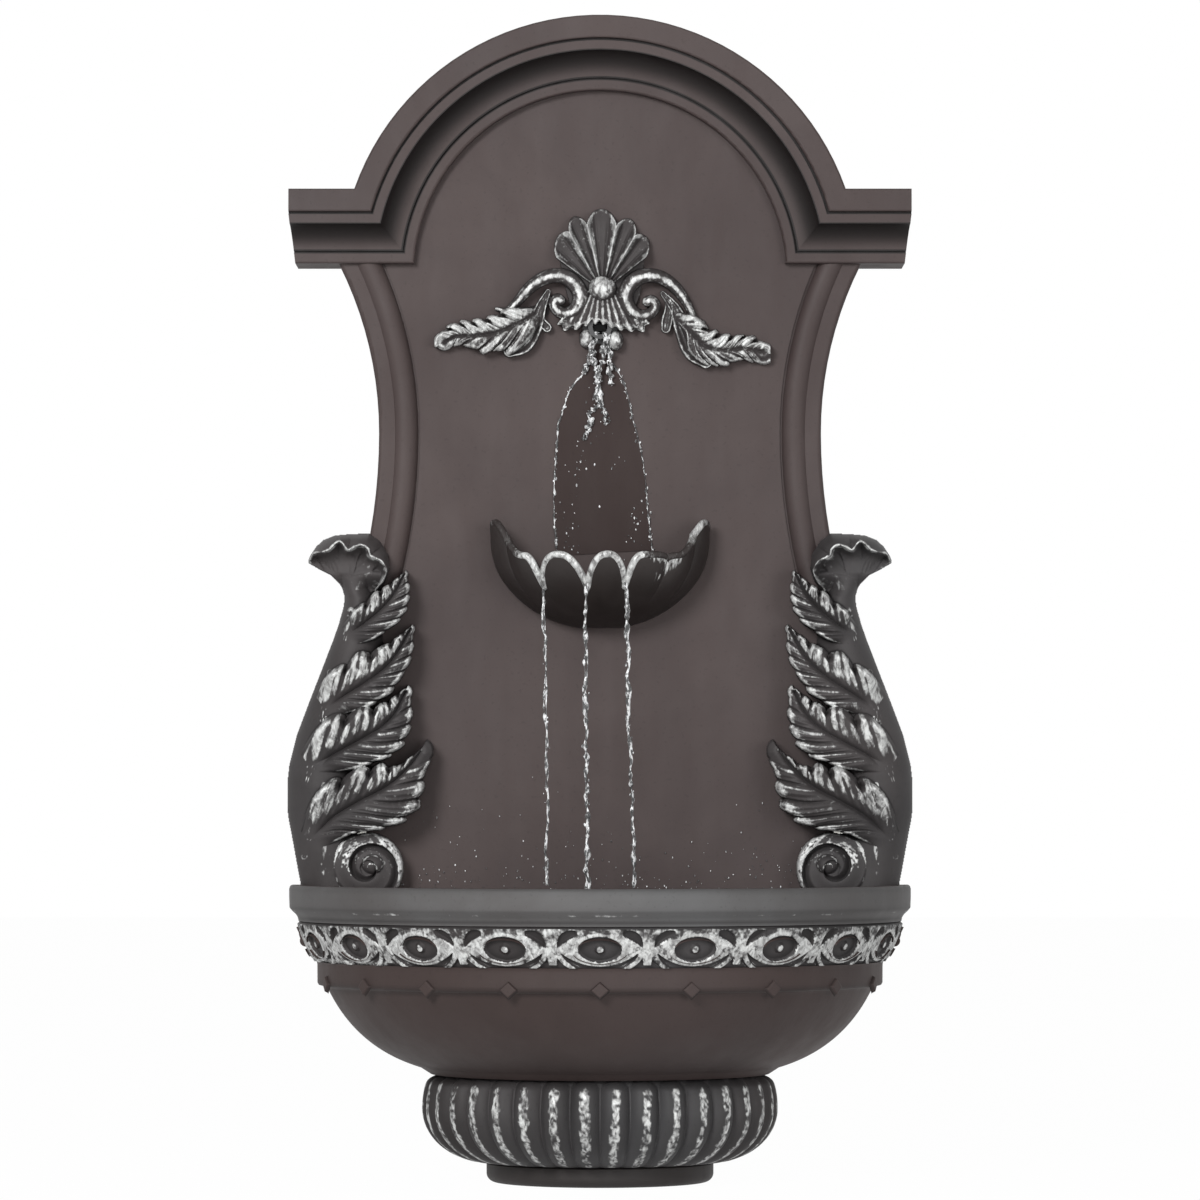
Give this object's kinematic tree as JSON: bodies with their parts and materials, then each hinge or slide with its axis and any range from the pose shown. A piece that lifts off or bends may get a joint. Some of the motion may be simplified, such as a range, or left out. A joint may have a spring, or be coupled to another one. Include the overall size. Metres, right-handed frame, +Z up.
{
  "type": "garden wall fountain",
  "caption": "Arched wall fountain with a scallop bowl, scroll brackets, a half-round basin on a gadrooned pendant, and a pump that feeds the spout.",
  "frame": {"origin": "on the wall plane, in the middle of the foot's underside", "axes": "+Z up, +Y into the wall, +X to the viewer's right; the front looks towards -Y"},
  "size_m": [0.422, 0.211, 0.7869],
  "materials": {
    "antiqued_resin": "cast resin, dark pewter brown, matt, lightly rubbed",
    "silvered_resin": "cast resin, dark brown with silver dry-brushed on the raised edges",
    "basin_resin": "cast resin, dark pewter brown with a silvered rim",
    "zinc_steel": "zinc plated",
    "black_plastic": "moulded, satin",
    "clear_vinyl": "flexible clear tube, slightly milky",
    "black_rubber": "moulded rubber, matt",
    "pump_plastic": "moulded, fine texture",
    "shaft_ceramic": "ground white ceramic",
    "magnet": "sintered ferrite",
    "impeller_plastic": "moulded, pale grey"
  },
  "bodies": {
    "root": {"back_panel": "antiqued_resin", "crest_ornament": "silvered_resin", "shell_bowl": "silvered_resin", "scroll_bracket_left": "silvered_resin", "scroll_bracket_right": "silvered_resin", "basin": "basin_resin", "pendant": "silvered_resin", "foot": "antiqued_resin", "hanger_plates": "zinc_steel", "hanger_screws": "zinc_steel", "bracket_bolts": "zinc_steel", "bracket_washers": "zinc_steel", "bowl_bolts": "zinc_steel", "bowl_washers": "zinc_steel", "crest_screws": "zinc_steel", "basin_bolts": "zinc_steel", "basin_washers": "zinc_steel", "clip_screws": "zinc_steel", "spout_elbow": "black_plastic", "spout_locknut": "black_plastic", "riser_tube": "clear_vinyl", "tube_grommet": "black_rubber", "tube_clips": "black_plastic", "pump_housing": "pump_plastic", "chamber_cover": "pump_plastic", "shaft_bushes": "black_rubber", "rotor_shaft": "shaft_ceramic", "suction_feet": "black_rubber", "cord_gland": "black_rubber"},
    "rotor": {"impeller": "impeller_plastic", "rotor_magnet": "magnet"},
    "strainer": {"pump_strainer": "pump_plastic"},
    "dial": {"flow_dial": "impeller_plastic"}
  },
  "joints": [
    {"name": "rotor_spin", "type": "hinge", "parent": "root", "child": "rotor", "pos_m": [0, -0.084, 0.1162], "axis": [1, 0, 0], "continuous": true},
    {"name": "strainer_pull", "type": "slide", "parent": "root", "child": "strainer", "axis": [1, 0, 0], "range_m": [0, 0.03]},
    {"name": "dial_turn", "type": "hinge", "parent": "strainer", "child": "dial", "pos_m": [0.02, -0.084, 0.1162], "axis": [1, 0, 0], "range_deg": [0, 90]}
  ]
}
